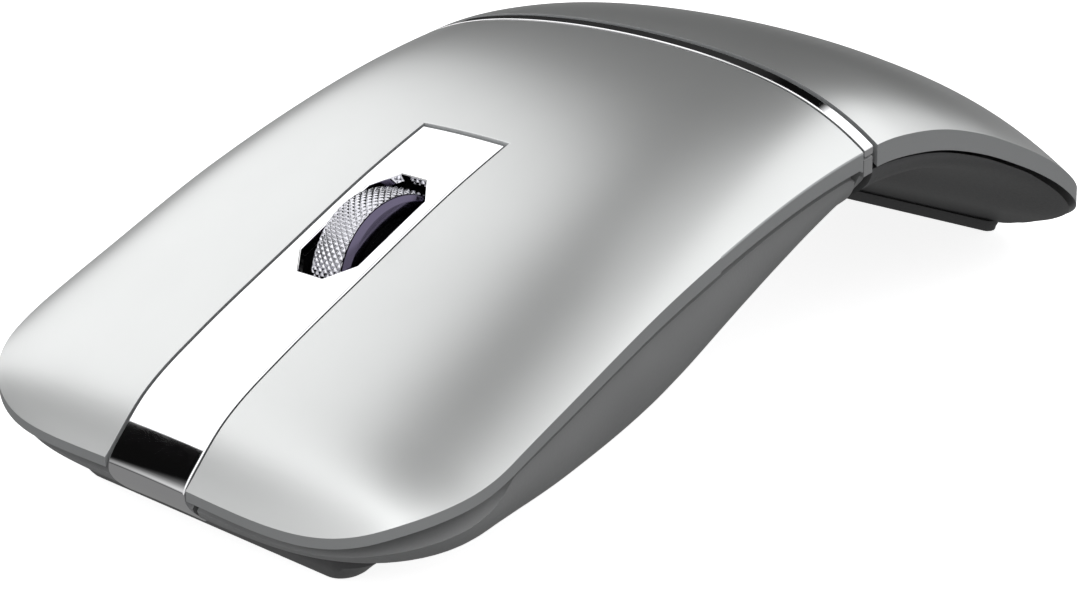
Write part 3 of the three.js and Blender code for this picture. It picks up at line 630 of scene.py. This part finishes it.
def tail_shell():
    """Thin shell under the tail, which rises to the rim at its sides and its end."""
    inset = 0.5
    shares = both_sides(even_shares(tail_end_at, TAIL_HALF_WIDTH, 0, 48))
    v = np.linspace(0, 1, 70)[:, None]

    def plan(more):
        s = TAIL_START * (1 - v) + (tail_end_at(shares)[None, :] - inset - more) * v
        return shares[None, :] * (side_line(s) - inset - more), s

    def outside(x, s):
        half = np.maximum(half_outline(s) - inset, 0.1)
        from_end = np.clip((tail_end_at(x / side_line(s)) - inset - s) / TAIL_RISE, 0, 1)
        return tail_rim(s) - tail_depth(s) * tub(x / half) * np.sqrt(1 - (1 - from_end) ** 4)

    x, s = plan(0)
    outer = grid(x, s, outside(x, s))
    x_in, s_in = plan(SHELL)
    height = np.minimum(tail_rim(s_in), outside(x_in, s_in) + SHELL)
    height[-1] = tail_rim(s_in)[-1]
    height[:, 0], height[:, -1] = tail_rim(s_in)[:, 0], tail_rim(s_in)[:, -1]
    obj = shell("tail_hull_skin", grid(x_in, s_in, height), outer)
    obj.data.set_sharp_from_angle(angle=math.radians(38))
    # The tail's shell takes the darker grey, painted shade under the arch.
    return finish_piece(obj, "tail", GREY_PAINTED_SHADE, "grey_plastic", "tail_shell")


def desk_foot(name, node, body, flare, rise):
    """Stadium-shaped foot that flares out to the shell above it and runs on up into that shell by rise.
    flare is (length, depth) in millimetres, and rise is in millimetres too."""
    low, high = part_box(node)
    centre = (low + high) / 2
    half_length, half_depth = (high.x - low.x) / 2 / MM, (high.y - low.y) / 2 / MM
    height = (high.z - low.z) / MM
    sides = 24
    turn = np.linspace(-math.pi / 2, math.pi / 2, sides)
    rings = []
    side_profile = ((0.0, 1.15), (0.12, 1.0), (0.35, 0.85), (0.6 * height, 0.45), (height, 0.0),
                    (height + rise, 0.0))  # height in millimetres, share of the flare still missing
    for z, narrower in side_profile:
        radius = half_depth - flare[1] * narrower
        straight = half_length - half_depth - (flare[0] - flare[1]) * narrower
        near = [(straight + radius * math.cos(a), radius * math.sin(a)) for a in turn]
        rings.append([(x, y, z) for x, y in near] + [(-x, -y, z) for x, y in near])
    count = len(rings[0])
    points = [(centre.x + x * MM, centre.y + y * MM, z * MM) for ring in rings for x, y, z in ring]
    faces = [tuple(range(count))[::-1], tuple(range((len(rings) - 1) * count, len(rings) * count))]
    for r in range(len(rings) - 1):
        for i in range(count):
            j = (i + 1) % count
            faces.append((r * count + i, r * count + j, (r + 1) * count + j, (r + 1) * count + i))
    obj = add_object(name, points, faces)
    obj.data.set_sharp_from_angle(angle=math.radians(40))
    return finish_piece(obj, body, FOOT, "foot_rubber", node)


# ---------------------------------------------------------------- wheel
def wheel_tread():
    """Ring with a diamond knurl: two families of grooves that cross at 45 degrees."""
    radius, half, pitch, depth = 7.1, 1.8, 0.72, 0.13
    bore, crowning, plain_edge = 5.9, 0.2, 0.25
    around, across = 900, 73
    angles = np.linspace(0, 2 * math.pi, around, endpoint=False)
    place = np.linspace(-half, half, across)
    teeth = round(2 * math.pi * radius / pitch)
    a, x = np.meshgrid(angles, place, indexing="ij")
    run = a * teeth / (2 * math.pi)
    one, two = run + x / pitch, run - x / pitch
    ridge = np.minimum(np.abs((one % 1) - 0.5), np.abs((two % 1) - 0.5)) * 2
    crown = radius - crowning * (np.abs(x) / half) ** 2.4
    fade = np.clip((half - np.abs(x)) / plain_edge, 0, 1)
    r = crown - depth * fade * np.clip(1 - ridge * 1.5, 0, 1)
    outside = np.stack([x, WHEEL_S + r * np.cos(a), WHEEL_Z + r * np.sin(a)], axis=-1)
    points = [tuple(p) for p in outside.reshape(-1, 3)]
    faces = []
    for i in range(around):
        j = (i + 1) % around
        for k in range(across - 1):
            faces.append((i * across + k, j * across + k, j * across + k + 1, i * across + k + 1))
    start = len(points)
    for edge in (-half, half):
        points += [(edge, WHEEL_S + bore * math.cos(t), WHEEL_Z + bore * math.sin(t)) for t in angles]
    for i in range(around):
        j = (i + 1) % around
        faces.append((i * across, j * across, start + j, start + i))
        last = across - 1
        faces.append((i * across + last, start + around + i, start + around + j, j * across + last))
        faces.append((start + i, start + j, start + around + j, start + around + i))
    obj = add_object("knurled_tread", on_desk(points), faces)
    obj.data.set_sharp_from_angle(angle=math.radians(50))
    return finish_piece(obj, "wheel", KNURL, "wheel_chrome", "wheel_tread")


def wheel_rim(side, name, node):
    """Polished ring on one side of the tread."""
    profile = [(5.4, 1.85), (6.75, 1.85), (6.85, 1.9), (6.46, 2.36), (6.38, 2.4), (5.5, 2.4), (5.4, 2.32)]
    profile = [(r, side * x) for r, x in profile]
    obj = turned(name, profile, 120)
    obj.data.set_sharp_from_angle(angle=math.radians(30))
    return finish_piece(obj, "wheel", RIM, "mirror_chrome", node)


def wheel_disc():
    """Hub of the wheel, the same on both faces."""
    one_face = [
        (1.2, 1.9), (2.2, 1.9), (2.4, 1.75), (4.6, 1.75),
        (4.8, 1.9), (5.1, 1.9), (5.1, 1.6), (5.6, 1.6),
    ]
    profile = [(r, -x) for r, x in one_face] + one_face[::-1]
    obj = turned("wheel_disc", profile, 96)
    obj.data.set_sharp_from_angle(angle=math.radians(30))
    return finish_piece(obj, "wheel", GLOSS, "black_gloss", "wheel_hub")


# ---------------------------------------------------------------- pieces kept from the CAD model
KEPT = {
    "seam_collar": (GREY, 0.1), "strip_frame": (GLOSS, 0.08), "power_slider": (GLOSS, 0.12),
    "wheel_axle": (STEEL, 0.1), "wheel_cradle": (DARK, 0.15),
    "scroll_encoder": (DARK, 0.15), "left_switch": (DARK, 0.15),
    "right_switch": (DARK, 0.15), "middle_switch": (DARK, 0.15), "left_plunger": (WHITE, 0.1),
    "right_plunger": (WHITE, 0.1), "middle_plunger": (WHITE, 0.1), "circuit_board": (BOARD, 0.1),
    "motion_sensor": (DARK, 0.1), "sensor_lens": (LENS, 0.2), "power_switch": (DARK, 0.1),
    "charging_socket": (STEEL, 0.06), "battery_pack": (FOIL, 0.4), "tail_bulkhead": (DARK, 0.1),
    "pivot_shaft": (STEEL, 0.08), "pivot_bush": (BRONZE, 0.06), "thrust_washer": (STEEL, 0.05),
    "wave_spring": (STEEL, 0.05), "retaining_clip": (STEEL, 0.05), "case_screw_front": (STEEL, 0.06),
    "case_screw_left": (STEEL, 0.06), "case_screw_right": (STEEL, 0.06),
}


def dress_kept_nodes():
    """Gives each kept CAD piece its material and rounds its edges by the radius in KEPT."""
    for name, (material, radius) in KEPT.items():
        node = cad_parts[name]
        node.data.materials.clear()
        node.data.materials.append(material)
        soften(node, radius, 2, 40)


# ---------------------------------------------------------------- studio
def softbox_share(nodes, links, azimuth, elevation, box):
    """1 inside a softbox, fading to 0 across its edges. box holds the azimuth from and to, the elevation
    from and to, and the width of the fading edge, all in degrees."""
    low_a, high_a, low_e, high_e, soft = box
    share = None
    for source, low, high in ((azimuth, low_a, high_a), (elevation, low_e, high_e)):
        for edge, sign in ((low, 1), (high, -1)):
            ramp = nodes.new("ShaderNodeMapRange")
            ramp.interpolation_type = "SMOOTHSTEP"
            ramp.inputs["From Min"].default_value = edge - sign * soft / 2
            ramp.inputs["From Max"].default_value = edge + sign * soft / 2
            links.new(source, ramp.inputs["Value"])
            if share is None:
                share = ramp.outputs["Result"]
                continue
            product = nodes.new("ShaderNodeMath")
            product.operation = "MULTIPLY"
            links.new(share, product.inputs[0])
            links.new(ramp.outputs["Result"], product.inputs[1])
            share = product.outputs[0]
    return share


# Each softbox: azimuth from and to (0 is +Y, 90 is +X), elevation from and to, edge softness, brightness.
LONG_SOFTBOX = ((-140, -60, 7, 56, 8), 1.4)  # on the user's right, with one slanting edge
SLANT, SLANT_EDGE = 0.775, -58.4  # lit where elevation + SLANT * azimuth is above the edge
SOFTBOXES = [
    ((-17, 181, 30, 91, 6), 1.5),  # large one on the user's left and behind
    ((-14, 181, 0, 40, 8), 0.85),
    ((-181, -123, 50, 91, 4), 2.0),  # over the nose
    ((-181, -128, 3, 54, 10), 0.8),  # fill in front of the nose
    ((-60, -17, 60, 91, 14), 0.7),
    ((-121, -60, 76, 91, 12), 0.7),
    ((-60, -36, -1, 66, 12), 0.03),
    ((-181, 181, -95, -1, 4), 0.22),  # what the desk sends back
]
AMBIENT = 0.004


def studio():
    """World of softboxes and a dim lower half."""
    world = bpy.data.worlds.new("studio")
    bpy.context.scene.world = world
    world.use_nodes = True
    nodes, links = world.node_tree.nodes, world.node_tree.links
    background = nodes["Background"]
    background.inputs["Color"].default_value = (1, 1, 1, 1)
    place = nodes.new("ShaderNodeTexCoord")
    split = nodes.new("ShaderNodeSeparateXYZ")
    links.new(place.outputs["Generated"], split.inputs["Vector"])

    def math_node(operation, *inputs):
        node = nodes.new("ShaderNodeMath")
        node.operation = operation
        for slot, value in zip(node.inputs, inputs):
            if isinstance(value, float):
                slot.default_value = value
            else:
                links.new(value, slot)
        return node.outputs[0]

    azimuth = math_node("DEGREES", math_node("ARCTAN2", split.outputs["X"], split.outputs["Y"]))
    elevation = math_node("DEGREES", math_node("ARCSINE", split.outputs["Z"]))
    box, brightness = LONG_SOFTBOX
    slanting = math_node("ADD", elevation, math_node("MULTIPLY", azimuth, SLANT))
    edge = math_node("GREATER_THAN", slanting, SLANT_EDGE)
    lit = math_node("MULTIPLY", softbox_share(nodes, links, azimuth, elevation, box), edge)
    total = math_node("MULTIPLY", lit, brightness)
    for box, brightness in SOFTBOXES:
        light = math_node("MULTIPLY", softbox_share(nodes, links, azimuth, elevation, box), brightness)
        total = math_node("MAXIMUM", total, light)
    links.new(math_node("MAXIMUM", total, AMBIENT), background.inputs["Strength"])


def floor():
    """Glowing desk for the camera alone; reflections and bounced light see the world's lower half."""
    half_size = 3.0
    below = -0.0002
    count = 12
    line = np.linspace(-half_size, half_size, count)
    points = [(x, y, below) for x in line for y in line]
    faces = [(i * count + j, (i + 1) * count + j, (i + 1) * count + j + 1, i * count + j + 1)
             for i in range(count - 1) for j in range(count - 1)]
    obj = add_object("floor", points, faces)
    face_up(obj)
    desk = surface("pale desk", (0.8, 0.8, 0.805), 0.7, 0.0, grain_mm=1.2, bump_mm=0.01, mottle=0.004,
                   blotch_mm=60, glow=0.85)
    obj.data.materials.append(desk)
    obj.visible_glossy = False
    obj.visible_diffuse = False


# ---------------------------------------------------------------- camera
CAMERA_AT = (164.63, -114.08, 83.44)
CAMERA_AZIMUTH, CAMERA_ELEVATION, CAMERA_ROLL = (math.radians(a) for a in (46.23, 17.638, -0.989))
FOCAL_SHARE = 2.4824  # focal length as a share of the picture's width
SENSOR = 36.0


def place_camera():
    """Camera at the place, direction and roll above, given in the body frame."""
    a, e, roll = CAMERA_AZIMUTH, CAMERA_ELEVATION, CAMERA_ROLL
    back = Vector((math.sin(a) * math.cos(e), -math.cos(a) * math.cos(e), math.sin(e)))
    right = (-back).cross(Vector((0, 0, 1))).normalized()
    up = right.cross(-back)
    right, up = right * math.cos(roll) + up * math.sin(roll), up * math.cos(roll) - right * math.sin(roll)
    axes = [direction_on_desk(v) for v in (right, up, back)]
    data = bpy.data.cameras.new("camera")
    data.sensor_width = SENSOR
    data.lens = SENSOR * FOCAL_SHARE
    data.clip_start = 0.01
    camera = bpy.data.objects.new("camera", data)
    matrix = Matrix([[axes[c][r] for c in range(3)] for r in range(3)]).to_4x4()
    matrix.translation = Vector(on_desk(CAMERA_AT))
    camera.matrix_world = matrix
    bpy.context.scene.collection.objects.link(camera)
    bpy.context.scene.camera = camera


# ---------------------------------------------------------------- the whole mouse
key_cover(1, "left_key_skin", "left_button")
key_cover(-1, "right_key_skin", "right_button")
palm_cover()
tail_cover()
centre_strip()
seam_band()
base_shell()
tail_shell()
desk_foot("front_foot_skin", "front_foot", "base", flare=(2.4, 0.9), rise=1.0)
desk_foot("rear_foot_skin", "rear_foot", "tail", flare=(0.5, 0.2), rise=0.1)
wheel_tread()
wheel_rim(1, "rim_left", "wheel_rim_left")
wheel_rim(-1, "rim_right", "wheel_rim_right")
wheel_disc()
dress_kept_nodes()
floor()
studio()
place_camera()
bpy.context.scene.view_settings.view_transform = "Standard"

bpy.context.view_layer.update()
